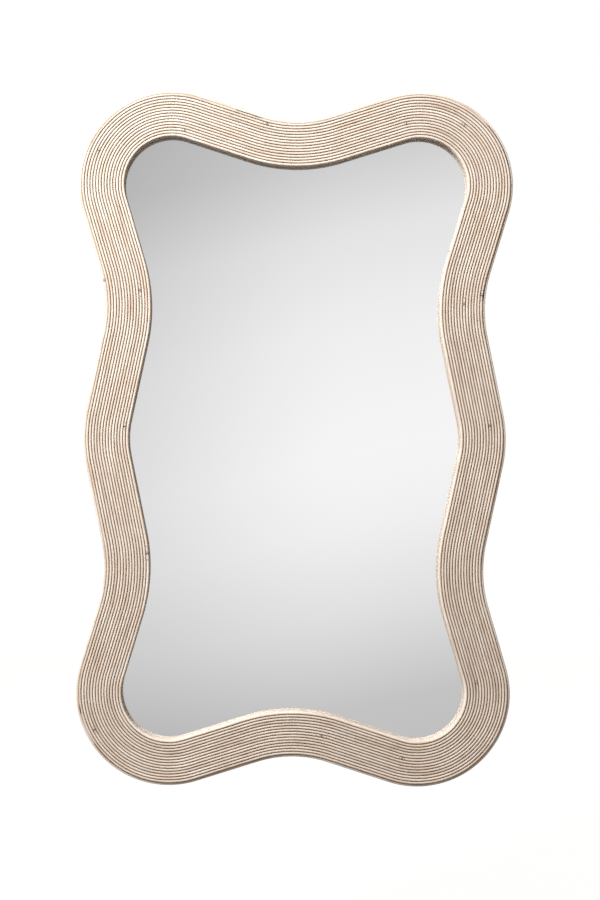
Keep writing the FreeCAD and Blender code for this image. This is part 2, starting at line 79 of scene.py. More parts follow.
# %% Bends of the outline, in millimetres
# centre x, centre z, radius, +1 bulges or -1 dips in, and where the middle of the arc faces
BULGE = (138.0, 0.0, 233.0, 1, (1, 0))
SIDE_HOLLOW = (559.0, 229.0, 226.0, -1, (-1, 0))
CORNER = (218.0, 446.5, 163.0, 1, (1, 1))
TOP_HOLLOW = (0.0, 758.0, 200.0, -1, (0, -1))

QUARTER_SIGNS = [(BULGE, 1, 1), (SIDE_HOLLOW, 1, 1), (CORNER, 1, 1), (TOP_HOLLOW, 1, 1),
                 (CORNER, -1, 1), (SIDE_HOLLOW, -1, 1), (BULGE, -1, 1), (SIDE_HOLLOW, -1, -1),
                 (CORNER, -1, -1), (TOP_HOLLOW, 1, -1), (CORNER, 1, -1), (SIDE_HOLLOW, 1, -1)]
BENDS = []
for (x, z, radius, turn, (face_x, face_z)), side_x, side_z in QUARTER_SIGNS:
    facing = math.atan2(side_z * face_z, side_x * face_x)
    BENDS.append((np.array([side_x * x, side_z * z]), radius, turn, facing))
print("bends", len(BENDS))

# %% Walk along the edge


def tangent_run(first, second, inset):
    """Both ends of the straight run from one bend to the next, at an inset."""
    first_reach = first[2] * first[1] - inset
    second_reach = second[2] * second[1] - inset
    across = second[0] - first[0]
    offset = second_reach - first_reach
    angle = math.atan2(across[1], across[0]) - math.asin(offset / np.hypot(*across))
    left = np.array([-math.sin(angle), math.cos(angle)])
    return first[0] - left * first_reach, second[0] - left * second_reach


def edge_pieces(inset):
    """The arcs and runs of the edge at an inset, going round anticlockwise from the right bulge."""
    runs = [tangent_run(BENDS[i], BENDS[(i + 1) % 12], inset) for i in range(12)]
    pieces = []
    for i, (centre, radius, turn, facing) in enumerate(BENDS):
        radius = radius - turn * inset
        enters, leaves = runs[i - 1][1] - centre, runs[i][0] - centre
        start = math.atan2(enters[1], enters[0])
        sweep = (turn * (math.atan2(leaves[1], leaves[0]) - start)) % math.tau
        pieces.append(("arc", centre, radius, turn, start, radius * sweep))
        begin, end = runs[i]
        heading = math.atan2(*(end - begin)[::-1])
        pieces.append(("run", begin, 0.0, 0, heading, float(np.hypot(*(end - begin)))))
    return pieces


def edge_length(inset):
    """Once round the edge at an inset."""
    return sum(piece[5] for piece in edge_pieces(inset))


def walk_edge(inset, distances):
    """Points on the edge at distances along it, and the directions that lead inwards."""
    pieces = edge_pieces(inset)
    ends = np.cumsum([piece[5] for piece in pieces])
    distances = np.mod(distances, ends[-1])
    found = np.searchsorted(ends, distances, side="right")
    points = np.zeros((len(distances), 2))
    inwards = np.zeros((len(distances), 2))
    for i, (kind, origin, radius, turn, angle, length) in enumerate(pieces):
        here = found == i
        walked = distances[here] - (ends[i] - length)
        if kind == "arc":
            angles = angle + turn * walked / radius
            outwards = np.column_stack([np.cos(angles), np.sin(angles)])
            points[here] = origin + radius * outwards
            inwards[here] = -turn * outwards
        else:
            ahead = np.array([math.cos(angle), math.sin(angle)])
            points[here] = origin + walked[:, None] * ahead
            inwards[here] = (-ahead[1], ahead[0])
    return points, inwards


def joint_distance(inset, bend, turned):
    """How far along the edge a joint lies: a bend and the degrees from the middle of its arc."""
    pieces = edge_pieces(inset)
    radius, turn, start = pieces[2 * bend][2:5]
    sweep = (turn * (BENDS[bend][3] + math.radians(turned) - start)) % math.tau
    return sum(piece[5] for piece in pieces[:2 * bend]) + radius * sweep


def on_bend(bend, turned, inset):
    """A point on a bend in x and z, and the direction in which the bend's centre sees it."""
    centre, radius, turn, facing = BENDS[bend]
    angle = facing + math.radians(turned)
    outwards = np.array([math.cos(angle), math.sin(angle)])
    return centre + (radius - turn * inset) * outwards, outwards * turn


print("once round the outside: %.0f mm, round the window: %.0f mm" % (edge_length(0), edge_length(79.3)))

# %% [markdown]
# ## Materials
# Colours are picked as sRGB hex values, as a colour picker shows them, and one function turns them
# linear. Another adds a node with its settings and its links, so each material reads as a short recipe.

# %% Helpers for materials


def linear(hex_colour):
    """An sRGB hex colour as the linear values that a shader takes."""
    values = [int(hex_colour[i:i + 2], 16) / 255 for i in (1, 3, 5)]
    return (*[v / 12.92 if v <= 0.04045 else ((v + 0.055) / 1.055) ** 2.4 for v in values], 1.0)


def add_node(tree, kind, inputs=(), **settings):
    """A node with its settings, and with each input set to a value or linked to another node."""
    node = tree.nodes.new(kind)
    for name, value in settings.items():
        setattr(node, name, value)
    for socket, value in dict(inputs).items():
        if isinstance(value, bpy.types.NodeSocket):
            tree.links.new(value, node.inputs[socket])
        else:
            node.inputs[socket].default_value = value
    return node


def add_ramp(tree, fac, stops):
    """A colour ramp whose stops are positions and hex colours."""
    node = add_node(tree, "ShaderNodeValToRGB", {"Fac": fac})
    elements = node.color_ramp.elements
    elements[0].position, elements[0].color = stops[0][0], linear(stops[0][1])
    elements[1].position, elements[1].color = stops[-1][0], linear(stops[-1][1])
    for position, colour in stops[1:-1]:
        elements.new(position).color = linear(colour)
    return node


def new_material(name):
    """An empty material with its node tree."""
    material = bpy.data.materials.new(name)
    material.use_nodes = True
    material.node_tree.nodes.clear()
    return material, material.node_tree


def finish_material(tree, shader):
    """Links a shader to the output."""
    add_node(tree, "ShaderNodeOutputMaterial", {"Surface": shader.outputs[0]})


def give(piece, material):
    """A piece gets one material on all its faces."""
    piece.data.materials.clear()
    piece.data.materials.append(material)


# %% [markdown]
# ### Rattan core
# Round rattan core is the pith of a climbing palm, pulled through a round die and left unvarnished. It
# is pale straw to ivory, matte, with hair-fine pores that run along it, and its tone drifts along every
# length and differs from one reed to the next. The reed's own UV map gives it metres along and metres
# round the reed, so that fibres follow every bend. Each reed lies 50 mm from the next on that map.

# %% Rattan material
REED_LANE = 0.05


def rattan_material():
    material, tree = new_material("rattan_core_unvarnished")
    uv = add_node(tree, "ShaderNodeTexCoord").outputs["UV"]
    parts = add_node(tree, "ShaderNodeSeparateXYZ", {0: uv})
    lane = add_node(tree, "ShaderNodeMath", {0: parts.outputs["Y"], 1: 1 / REED_LANE}, operation="MULTIPLY")
    lane_number = add_node(tree, "ShaderNodeMath", {0: lane.outputs[0]}, operation="ROUND")
    tone = add_node(tree, "ShaderNodeTexWhiteNoise", {"W": lane_number.outputs[0]}, noise_dimensions="1D")
    # slow drifts of tone, about 90 mm long
    drift = add_node(tree, "ShaderNodeMapping", {"Vector": uv, "Scale": (11.0, 20.0, 1.0)})
    drift_noise = add_node(tree, "ShaderNodeTexNoise",
                           {"Vector": drift.outputs[0], "Scale": 1.0, "Detail": 3.0, "Roughness": 0.6},
                           noise_dimensions="2D")
    # pores: 25 mm long and 0.35 mm wide
    pores = add_node(tree, "ShaderNodeMapping", {"Vector": uv, "Scale": (40.0, 2800.0, 1.0)})
    pore_noise = add_node(tree, "ShaderNodeTexNoise",
                          {"Vector": pores.outputs[0], "Scale": 1.0, "Detail": 2.0, "Roughness": 0.5},
                          noise_dimensions="2D")
    straw = add_ramp(tree, drift_noise.outputs[0], [(0.30, "#DFCAB8"), (0.50, "#EDDECF"), (0.72, "#F6ECE0")])
    toned = add_node(tree, "ShaderNodeHueSaturation",
                     {"Color": straw.outputs[0],
                      "Value": add_node(tree, "ShaderNodeMapRange",
                                        {0: tone.outputs["Value"], 3: 0.92, 4: 1.04}).outputs[0]})
    pore_shade = add_node(tree, "ShaderNodeMapRange",
                          {0: pore_noise.outputs[0], 1: 0.30, 2: 0.55, 3: 0.82, 4: 1.0})
    with_pores = add_node(tree, "ShaderNodeMix", {0: 1.0, 6: toned.outputs[0], 7: pore_shade.outputs[0]},
                          data_type="RGBA", blend_type="MULTIPLY")
    # painted shade darkens the flanks in the grooves between neighbours, from an attribute of the mesh
    flank = add_node(tree, "ShaderNodeAttribute", attribute_name="groove")
    with_painted_groove_shade = add_node(tree, "ShaderNodeMix",
                       {0: flank.outputs["Fac"], 6: with_pores.outputs[2], 7: linear("#65401F")},
                       data_type="RGBA")
    # dark ends and brad holes, and painted shade in stretches of the groove outside the first front reed,
    # come from the mesh as an attribute
    stain = add_node(tree, "ShaderNodeAttribute", attribute_name="stain")
    coloured = add_node(tree, "ShaderNodeMix",
                        {0: stain.outputs["Fac"], 6: with_painted_groove_shade.outputs[2], 7: linear("#33221A")},
                        data_type="RGBA")
    bump = add_node(tree, "ShaderNodeBump",
                    {"Strength": 0.35, "Distance": 0.0002, "Height": pore_noise.outputs[0]})
    shader = add_node(tree, "ShaderNodeBsdfPrincipled",
                      {"Base Color": coloured.outputs[2], "Roughness": 0.72, "Normal": bump.outputs[0]})
    shader.inputs["IOR"].default_value = 1.45
    shader.inputs["Specular IOR Level"].default_value = 0.1
    finish_material(tree, shader)
    return material


rattan = rattan_material()
print("material", rattan.name)

# %% [markdown]
# ## Reeds
# A straight reed is easy: a grid rolled into a tube, flattened a little where it is glued down. The tube
# is then laid along the wavy edge by moving each vertex to its place. Close stations near both ends
# leave room for the dimples that the brads press in. Real core is never quite round or straight, so its
# thickness and its line wander by a few hundredths of a millimetre.

# %% Sizes of a reed, in millimetres, degrees round a bend and radians round the reed
REED_RADIUS = 2.45
GLUE_SEAT = 2.30
JOINT_GAP = 0.6
PIN_TURN = 2.2
ROUND_STEPS = 14
STATION_STEP = 5.0
DIMPLE_DEPTH, DIMPLE_WIDTH = 0.42, 0.8
# the stations are close this far on either side of a brad
CLOSE_REACH, CLOSE_STATIONS = 1.8, 13
# the share by which the thickness wanders and the width in which the line does, and over what lengths
THINNING, THINNING_LENGTH = 0.025, 60.0
DRIFT, DRIFT_LENGTH = 0.06, 110.0
# how dark and how wide the spots at brads and at reed ends are
PIN_STAIN, PIN_STAIN_WIDTH = 0.9, 0.9
END_STAIN, END_STAIN_WIDTH = 0.6, 1.2
# how dark the painted groove shade on the flanks gets, how far round from the crest it begins, and over what
# angle
GROOVE_PAINTED_SHADE, GROOVE_START, GROOVE_FADE = 0.90, 0.58, 0.6
# where painted shade makes the groove outside the first front reed black: the bend, the degrees from its
# middle, and how many millimetres it goes on anticlockwise
DARK_STRETCHES = [(1, -3, 29), (2, -34, 90), (3, -17, 50), (8, -37, 19), (8, -11, 54)]
DARK_SHADE, DARK_FADE_ALONG, DARK_FADE_ROUND = 0.95, 4.0, 0.4
FIRST_SIDE_NUMBER = 21
# the two reeds beside that groove, and how far round from the crest the painted black shade begins
DARK_FLANKS = {1: 0.3, FIRST_SIDE_NUMBER: 1.8}

# %% Roll and lay a tube


def grid_mesh(name, along_steps, round_steps):
    """A flat grid as a mesh, with each vertex's step along it and its step across it."""
    bm = bmesh.new()
    bmesh.ops.create_grid(bm, x_segments=along_steps, y_segments=round_steps, size=0.5)
    mesh = bpy.data.meshes.new(name)
    bm.to_mesh(mesh)
    bm.free()
    flat = np.zeros(3 * len(mesh.vertices))
    mesh.vertices.foreach_get("co", flat)
    flat = flat.reshape(-1, 3) + 0.5
    return mesh, np.rint(flat[:, 0] * along_steps).astype(int), np.rint(flat[:, 1] * round_steps).astype(int)


def lay_mesh(mesh, places, uv, **shades):
    """Moves a grid's vertices to their places, gives it a UV map and attributes, and closes it."""
    mesh.vertices.foreach_set("co", places.ravel())
    layer = mesh.uv_layers.new(name="UVMap")
    corner_vertex = np.zeros(len(mesh.loops), dtype=int)
    mesh.loops.foreach_get("vertex_index", corner_vertex)
    layer.data.foreach_set("uv", uv[corner_vertex].ravel())
    for name, values in shades.items():
        mesh.attributes.new(name, "FLOAT", "POINT").data.foreach_set("value", values)
    bm = bmesh.new()
    bm.from_mesh(mesh)
    bmesh.ops.remove_doubles(bm, verts=bm.verts, dist=1e-7)
    ends = [edge for edge in bm.edges if edge.is_boundary]
    bmesh.ops.holes_fill(bm, edges=ends, sides=0)
    bmesh.ops.recalc_face_normals(bm, faces=bm.faces)
    for face in bm.faces:
        face.smooth = True
    bm.to_mesh(mesh)
    bm.free()
    mesh.set_sharp_from_angle(angle=math.radians(50))
    return mesh


def show(mesh, body, nodes, material):
    """A finished mesh as a piece that rides on a body and stands for its nodes."""
    piece = bpy.data.objects.new(mesh.name, mesh)
    bpy.context.scene.collection.objects.link(piece)
    give(piece, material)
    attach(piece, body)
    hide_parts(*nodes)
    return piece


def wander(rng, distances, spacing):
    """A smooth random line from 0 to 1 with a new value every so many millimetres."""
    knots = np.arange(distances[0] - spacing, distances[-1] + 2 * spacing, spacing)
    values = rng.random(len(knots))
    place = (distances - knots[0]) / spacing
    low = np.floor(place).astype(int)
    ease = (1 - np.cos(np.pi * (place - low))) / 2
    return values[low] * (1 - ease) + values[low + 1] * ease


def lay_reed(name, node, number, inset, level, joint, on_side, bare_flank):
    """One reed bent once round the frame, from its joint back to its joint; its bare flank gets no painted
    shade.
    """
    rng = np.random.default_rng(100 + number)
    bend, turned = joint
    pin_reach = (BENDS[bend][1] - BENDS[bend][2] * inset) * math.radians(PIN_TURN)
    start = joint_distance(inset, bend, turned)
    length = edge_length(inset)
    even = np.linspace(JOINT_GAP / 2, length - JOINT_GAP / 2, round(length / STATION_STEP))
    around_pin = np.linspace(-CLOSE_REACH, CLOSE_REACH, CLOSE_STATIONS)
    close = np.concatenate([pin + around_pin for pin in (pin_reach, length - pin_reach)])
    inside = (close > JOINT_GAP) & (close < length - JOINT_GAP)
    stations = np.unique(np.round(np.concatenate([even, close[inside]]), 4))
    mesh, step, turn_step = grid_mesh(name, len(stations) - 1, ROUND_STEPS)
    around = (turn_step / ROUND_STEPS * 2 - 1) * math.pi
    near_pin = np.minimum(abs(stations - pin_reach), abs(stations - (length - pin_reach)))[step]
    from_pin = np.hypot(near_pin, REED_RADIUS * around)
    dimple = DIMPLE_DEPTH * np.exp(-(from_pin / DIMPLE_WIDTH) ** 2)
    radius = REED_RADIUS * (1 - THINNING * wander(rng, stations, THINNING_LENGTH)[step]) - dimple
    drift = DRIFT * (wander(rng, stations, DRIFT_LENGTH)[step] - 0.5)
    raised = radius * np.cos(around)
    sideways = radius * np.sin(around) + drift
    raised = np.maximum(raised, -GLUE_SEAT)
    points, inwards = walk_edge(inset, start + stations)
    if on_side:
        inward_shift, depth = -raised, level + sideways
    else:
        inward_shift, depth = sideways, level - raised
    flat = points[step] + inwards[step] * inward_shift[:, None]
    places = np.column_stack([flat[:, 0], depth, flat[:, 1]]) * MM
    uv = np.column_stack([stations[step], REED_RADIUS * around]) * MM
    uv[:, 1] += number * REED_LANE
    end_distance = np.minimum(stations, length - stations)[step]
    stain = np.clip(PIN_STAIN * np.exp(-(from_pin / PIN_STAIN_WIDTH) ** 2)
                    + END_STAIN * np.exp(-(end_distance / END_STAIN_WIDTH) ** 2), 0, 1)
    # painted shade: the flank beside that groove turns near black along each listed stretch
    for dark_bend, dark_turn, reach in DARK_STRETCHES if number in DARK_FLANKS else ():
        gone = (stations - joint_distance(inset, dark_bend, dark_turn) + start) % length
        along = np.clip(np.minimum(gone, reach - gone) / DARK_FADE_ALONG, 0, 1)[step]
        flank = np.clip((-around - DARK_FLANKS[number]) / DARK_FADE_ROUND, 0, 1)
        stain = np.maximum(stain, DARK_SHADE * along * flank)
    # painted shade on the flanks that face a neighbour, where the groove between two reeds lies in shade
    groove = GROOVE_PAINTED_SHADE * np.clip((abs(around) - GROOVE_START) / GROOVE_FADE, 0, 1)
    groove = groove * (around * bare_flank <= 0)
    lay_mesh(mesh, places, uv, stain=stain, groove=groove)
    return show(mesh, "frame", [node], rattan)


# %% [markdown]
# Fifteen reeds lie on the front face at 5 mm pitch, and six more go down the outer side wall. Each
# joint lies on a bend, and no two lie side by side. Those of front reeds 1, 2, 7 and 8 lie where the
# photograph shows a small dark gap; the places of the others are chosen.

# %% Front and side reeds
REED_PITCH = 5.0
FIRST_FRONT_INSET = 6.8
FRONT_REED_LEVEL = -33.3
FIRST_SIDE_LEVEL = -30.4
FRONT_JOINTS = [(1, -6), (3, -14), (8, -18), (4, 21), (0, 7), (2, 9), (1, -2), (9, -12),
                (10, -58), (2, 58), (10, 56), (5, 6), (4, -58), (6, -7), (7, 5)]
SIDE_JOINTS = [(5, 12), (10, -20), (6, 8), (2, -14), (8, 20), (3, -9)]

# +1 marks the flank towards the window or the wall as free of painted shade, -1 the one towards the front
FRONT_BARE = [0] * (len(FRONT_JOINTS) - 1) + [1]
SIDE_BARE = [-1] + [0] * (len(SIDE_JOINTS) - 2) + [1]

reeds = []
for i, joint in enumerate(FRONT_JOINTS):
    reeds.append(lay_reed(f"rattan_front_{i + 1:02d}", f"front_reed_{i + 1:02d}", i + 1,
                          FIRST_FRONT_INSET + i * REED_PITCH, FRONT_REED_LEVEL, joint, False,
                          FRONT_BARE[i]))
for i, joint in enumerate(SIDE_JOINTS):
    reeds.append(lay_reed(f"rattan_side_{i + 1:02d}", f"side_reed_{i + 1:02d}", i + FIRST_SIDE_NUMBER,
                          REED_RADIUS, FIRST_SIDE_LEVEL + i * REED_PITCH, joint, True, SIDE_BARE[i]))
print("reeds", len(reeds), "faces", sum(len(reed.data.polygons) for reed in reeds))

# %% [markdown]
# ## Brads
# Two fine steel brads hold each reed's ends, one on either side of the joint. A brad is a thin pin with
# its top edge rounded over. One is made upright, and copies of it are turned to point into the board.

# %% Steel finishes


def steel_material(name, colour, roughness, grain_mm):
    """Plated or bare steel: a metal whose roughness and tone vary a little with its fine grain."""
    material, tree = new_material(name)
    place = add_node(tree, "ShaderNodeTexCoord").outputs["Object"]
    grain = add_node(tree, "ShaderNodeTexNoise", {"Vector": place, "Scale": 1000 / grain_mm, "Detail": 3.0})
    rough = add_node(tree, "ShaderNodeMapRange",
                     {0: grain.outputs[0], 1: 0.3, 2: 0.7, 3: roughness - 0.07, 4: roughness + 0.09})
    shade = add_node(tree, "ShaderNodeMapRange", {0: grain.outputs[0], 1: 0.3, 2: 0.7, 3: 0.9, 4: 1.04})
    tint = add_node(tree, "ShaderNodeHueSaturation", {"Color": linear(colour), "Value": shade.outputs[0]})
    bump = add_node(tree, "ShaderNodeBump",
                    {"Strength": 0.12, "Distance": 0.0001, "Height": grain.outputs[0]})
    shader = add_node(tree, "ShaderNodeBsdfPrincipled",
                      {"Base Color": tint.outputs[0], "Metallic": 1.0, "Roughness": rough.outputs[0],
                       "Normal": bump.outputs[0]})
    finish_material(tree, shader)
    return material


# zinc plating gives a cool satin grey with a fine grain, and bare brads turn dull and dark
zinc_steel = steel_material("zinc_plated_steel", "#BDBFC2", 0.34, 1.5)
brad_steel = steel_material("dull_brad_steel", "#5A5149", 0.50, 0.5)

# %% Brads
PIN_RADIUS = 0.55
PIN_LENGTH = 16.0
PIN_SUNK = 0.25
PIN_EASE = 0.18


def copies(name, bm_piece, places):
    """One mesh with a copy of a piece at each place."""
    bm = bmesh.new()
    source = bpy.data.meshes.new(name + "_single")
    bm_piece.to_mesh(source)
    bm_piece.free()
    for place in places:
        before = len(bm.verts)
        bm.from_mesh(source)
        bm.verts.ensure_lookup_table()
        bmesh.ops.transform(bm, matrix=place, verts=bm.verts[before:])
    mesh = bpy.data.meshes.new(name)
    bm.to_mesh(mesh)
    bm.free()
    bpy.data.meshes.remove(source)
    mesh.set_sharp_from_angle(angle=math.radians(40))
    return mesh


def facing_matrix(place, direction):
    """Moves a piece that stands on its foot, with its top at the origin, to point along a direction."""
    turn = Vector((0, 0, -1)).rotation_difference(Vector(direction)).to_matrix().to_4x4()
    return Matrix.Translation(Vector(place) * MM) @ turn


brad = bmesh.new()
bmesh.ops.create_cone(brad, cap_ends=True, segments=10, radius1=PIN_RADIUS * MM, radius2=PIN_RADIUS * MM,
                      depth=PIN_LENGTH * MM)
bmesh.ops.translate(brad, verts=brad.verts, vec=(0, 0, -PIN_LENGTH / 2 * MM))
rim = [edge for edge in brad.edges if all(abs(vert.co.z) < 1e-6 for vert in edge.verts)]
bmesh.ops.bevel(brad, geom=rim, offset=PIN_EASE * MM, segments=2, profile=0.5, affect="EDGES", material=-1)
for face in brad.faces:
    face.smooth = True

brad_places = []
for i, (bend, turned) in enumerate(FRONT_JOINTS):
    for side_turn in (-PIN_TURN, PIN_TURN):
        (x, z), _ = on_bend(bend, turned + side_turn, FIRST_FRONT_INSET + i * REED_PITCH)
        brad_places.append(facing_matrix((x, FRONT_REED_LEVEL - REED_RADIUS + PIN_SUNK, z), (0, 1, 0)))
for i, (bend, turned) in enumerate(SIDE_JOINTS):
    for side_turn in (-PIN_TURN, PIN_TURN):
        (x, z), outwards = on_bend(bend, turned + side_turn, PIN_SUNK)
        brad_places.append(facing_matrix((x, FIRST_SIDE_LEVEL + i * REED_PITCH, z),
                                         (-outwards[0], 0, -outwards[1])))
show(copies("reed_brads", brad, brad_places), "frame", ["reed_pins"], brad_steel)
print("brads", len(brad_places))

# %% [markdown]
# ## Inner lining
# The edge of the board inside the window is covered by a thin strip of veneer, sanded smooth and bent
# round. It is a long flat section laid along the edge in the same way as the reeds, with its sharp edges
# eased. The veneer's straight grain runs along the strip, and its tone is close to that of the reeds.

# %% Lining
WINDOW_INSET = 77.8
LINING_INSET = 79.3
BOARD_FRONT = -31.0
GLASS_FRONT = -9.0


def veneer_material():
    material, tree = new_material("sanded_veneer")
    uv = add_node(tree, "ShaderNodeTexCoord").outputs["UV"]
    # grain lines 70 mm long and 0.9 mm wide, over clouds 150 mm long
    lines = add_node(tree, "ShaderNodeMapping", {"Vector": uv, "Scale": (14.0, 1100.0, 1.0)})
    grain = add_node(tree, "ShaderNodeTexNoise", {"Vector": lines.outputs[0], "Scale": 1.0, "Detail": 4.0},
                     noise_dimensions="2D")
    clouds = add_node(tree, "ShaderNodeMapping", {"Vector": uv, "Scale": (6.5, 40.0, 1.0)})
    cloud = add_node(tree, "ShaderNodeTexNoise", {"Vector": clouds.outputs[0], "Scale": 1.0, "Detail": 2.0},
                     noise_dimensions="2D")
    tone = add_node(tree, "ShaderNodeMix", {0: 0.4, 2: grain.outputs[0], 3: cloud.outputs[0]})
    colour = add_ramp(tree, tone.outputs[0], [(0.36, "#C8B7A7"), (0.62, "#DFD4C9")])
    bump = add_node(tree, "ShaderNodeBump",
                    {"Strength": 0.2, "Distance": 0.0001, "Height": grain.outputs[0]})
    shader = add_node(tree, "ShaderNodeBsdfPrincipled",
                      {"Base Color": colour.outputs[0], "Roughness": 0.65, "Normal": bump.outputs[0]})
    shader.inputs["IOR"].default_value = 1.45
    shader.inputs["Specular IOR Level"].default_value = 0.12
    finish_material(tree, shader)
    return material


def lay_ring(name, low_inset, high_inset, low_depth, high_depth, eased):
    """A closed ring with a rectangular section whose four edges are eased, laid along the edge."""
    corners = [(low_inset, low_depth, 1, 1), (high_inset, low_depth, -1, 1),
               (high_inset, high_depth, -1, -1), (low_inset, high_depth, 1, -1)]
    section = []
    for k, (inset, depth, inset_way, depth_way) in enumerate(corners):
        along_inset, along_depth = (inset + inset_way * eased, depth), (inset, depth + depth_way * eased)
        middle = (inset + inset_way * eased * 0.3, depth + depth_way * eased * 0.3)
        trio = [along_depth, middle, along_inset]
        section += trio if k % 2 == 0 else trio[::-1]
    section = np.array(section + section[:1])
    length = edge_length(low_inset)
    steps = round(length / 5.0)
    mesh, step, corner = grid_mesh(name, steps, len(section) - 1)
    stations = np.linspace(0, length, steps + 1)
    points, inwards = walk_edge(low_inset, stations)
    flat = points[step] + inwards[step] * (section[corner, 0] - low_inset)[:, None]
    places = np.column_stack([flat[:, 0], section[corner, 1], flat[:, 1]]) * MM
    girth = np.concatenate([[0], np.cumsum(np.hypot(*np.diff(section, axis=0).T))])
    uv = np.column_stack([stations[step], girth[corner]]) * MM
    return lay_mesh(mesh, places, uv)


lining_mesh = lay_ring("veneer_lining", WINDOW_INSET, LINING_INSET, BOARD_FRONT, GLASS_FRONT, 0.35)
lining = show(lining_mesh, "frame", ["inner_lining"], veneer_material())
print("lining faces", len(lining.data.polygons))

# %% [markdown]
# ## Mirror glass
# A mirror is float glass with a film of silver on its back, so it reflects almost everything and adds a
# trace of green-grey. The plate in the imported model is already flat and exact, so it keeps its mesh and
# gets a metal finish with hardly any roughness.

# %% Mirror
material, tree = new_material("silvered_float_glass")
place = add_node(tree, "ShaderNodeTexCoord").outputs["Object"]
# the faint unevenness of a wiped surface, in patches of about 60 mm
wiped = add_node(tree, "ShaderNodeTexNoise", {"Vector": place, "Scale": 16.0, "Detail": 2.0})
polish = add_node(tree, "ShaderNodeMapRange", {0: wiped.outputs[0], 3: 0.0, 4: 0.02})
shader = add_node(tree, "ShaderNodeBsdfPrincipled",
                  {"Base Color": linear("#F5F5F5"), "Metallic": 1.0, "Roughness": polish.outputs[0]})
finish_material(tree, shader)
give(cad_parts["mirror_glass"], material)

# %% [markdown]
# ## Boards, foam and back panel
# Behind the reeds are two rings of fibreboard, pressed from fine wood fibre, so they are even tan with
# small darker specks. The back is brown hardboard, smooth and a little shiny on its outer face. Soft
# foam tape presses the glass forward. These pieces are plain plates, so the imported ones stay, with
# speckled materials.

# %% Board finishes


def pressed_board(name, dark, light, speck_mm, cloud_mm, roughness):
    """A board pressed from wood fibre: fine specks over slow clouds of tone."""
    material, tree = new_material(name)
    place = add_node(tree, "ShaderNodeTexCoord").outputs["Object"]
    specks = add_node(tree, "ShaderNodeTexNoise", {"Vector": place, "Scale": 1000 / speck_mm, "Detail": 4.0,
                                                   "Roughness": 0.65})
    clouds = add_node(tree, "ShaderNodeTexNoise", {"Vector": place, "Scale": 1000 / cloud_mm, "Detail": 3.0})
    mixed = add_node(tree, "ShaderNodeMix", {0: 0.35, 2: specks.outputs[0], 3: clouds.outputs[0]})
    colour = add_ramp(tree, mixed.outputs[0], [(0.36, dark), (0.62, light)])
    rough = add_node(tree, "ShaderNodeMapRange",
                     {0: clouds.outputs[0], 1: 0.3, 2: 0.7, 3: roughness - 0.06, 4: roughness + 0.06})
    bump = add_node(tree, "ShaderNodeBump",
                    {"Strength": 0.25, "Distance": 0.0002, "Height": specks.outputs[0]})
    shader = add_node(tree, "ShaderNodeBsdfPrincipled",
                      {"Base Color": colour.outputs[0], "Roughness": rough.outputs[0],
                       "Normal": bump.outputs[0]})
    finish_material(tree, shader)
    return material


# specks of 2 mm are drawn coarser than real fibre, so that they show
fibreboard = pressed_board("medium_density_fibreboard", "#A98A63", "#C9AD86", 2.0, 60.0, 0.82)
hardboard = pressed_board("tempered_hardboard", "#573B27", "#7B593F", 3.0, 90.0, 0.48)
foam = pressed_board("closed_cell_foam", "#D8D8D4", "#EFEFEC", 0.8, 20.0, 0.9)
for name, finish in (("front_board", fibreboard), ("rear_board", fibreboard), ("back_panel", hardboard),
                     ("glass_pad", foam)):
    give(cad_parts[name], finish)
    print(name, finish.name)

# %% [markdown]
# ## Screws
# The back is held by small pan-head screws with a cross recess. The head is a profile spun round the
# screw's axis, from the middle of its low dome to the rim and on down the shank to a point, and the
# recess is cut with a cross. One screw is made and then copied to its places.

# %% Screws
SCREW_HEAD = 3.2
SCREW_HEAD_HEIGHT = 1.8
SCREW_SHANK = 1.45
SCREW_LENGTH = 13.0
SCREW_POINT = 3.0
RECESS_WIDTH, RECESS_LENGTH, RECESS_DEPTH = 0.9, 3.4, 1.0


def spun(profile, steps):
    """A profile of (radius, height) points in millimetres, spun round the upright axis."""
    bm = bmesh.new()
    verts = [bm.verts.new((radius * MM, 0, height * MM)) for radius, height in profile]
    edges = [bm.edges.new(pair) for pair in zip(verts, verts[1:])]
    bmesh.ops.spin(bm, geom=verts + edges, cent=(0, 0, 0), axis=(0, 0, 1), angle=math.tau, steps=steps,
                   use_merge=True)
    bmesh.ops.remove_doubles(bm, verts=bm.verts, dist=1e-6)
    bmesh.ops.recalc_face_normals(bm, faces=bm.faces)
    for face in bm.faces:
        face.smooth = True
    return bm


def cut_cross(bm, arm_width, arm_length, depth, top):
    """Cuts a cross recess into the top of a piece, and gives the cut piece back."""
    arms = bmesh.new()
    for size_x, size_y in ((arm_length, arm_width), (arm_width, arm_length)):
        arm = bmesh.ops.create_cube(arms, size=MM)
        bmesh.ops.scale(arms, verts=arm["verts"], vec=(size_x, size_y, 2 * depth))
        bmesh.ops.translate(arms, verts=arm["verts"], vec=(0, 0, top * MM))
    meshes = []
    for label, source in (("blank", bm), ("cross", arms)):
        mesh = bpy.data.meshes.new(label)
        source.to_mesh(mesh)
        source.free()
        meshes.append(bpy.data.objects.new(label, mesh))
        bpy.context.scene.collection.objects.link(meshes[-1])
    blank, cross = meshes
    knife = blank.modifiers.new("recess", "BOOLEAN")
    knife.operation, knife.solver, knife.use_self, knife.object = "DIFFERENCE", "EXACT", True, cross
    bpy.context.view_layer.update()
    done = bpy.data.meshes.new_from_object(blank.evaluated_get(bpy.context.evaluated_depsgraph_get()))
    result = bmesh.new()
    result.from_mesh(done)
    for piece in (blank, cross):
        mesh = piece.data
        bpy.data.objects.remove(piece)
        bpy.data.meshes.remove(mesh)
    bpy.data.meshes.remove(done)
    return result


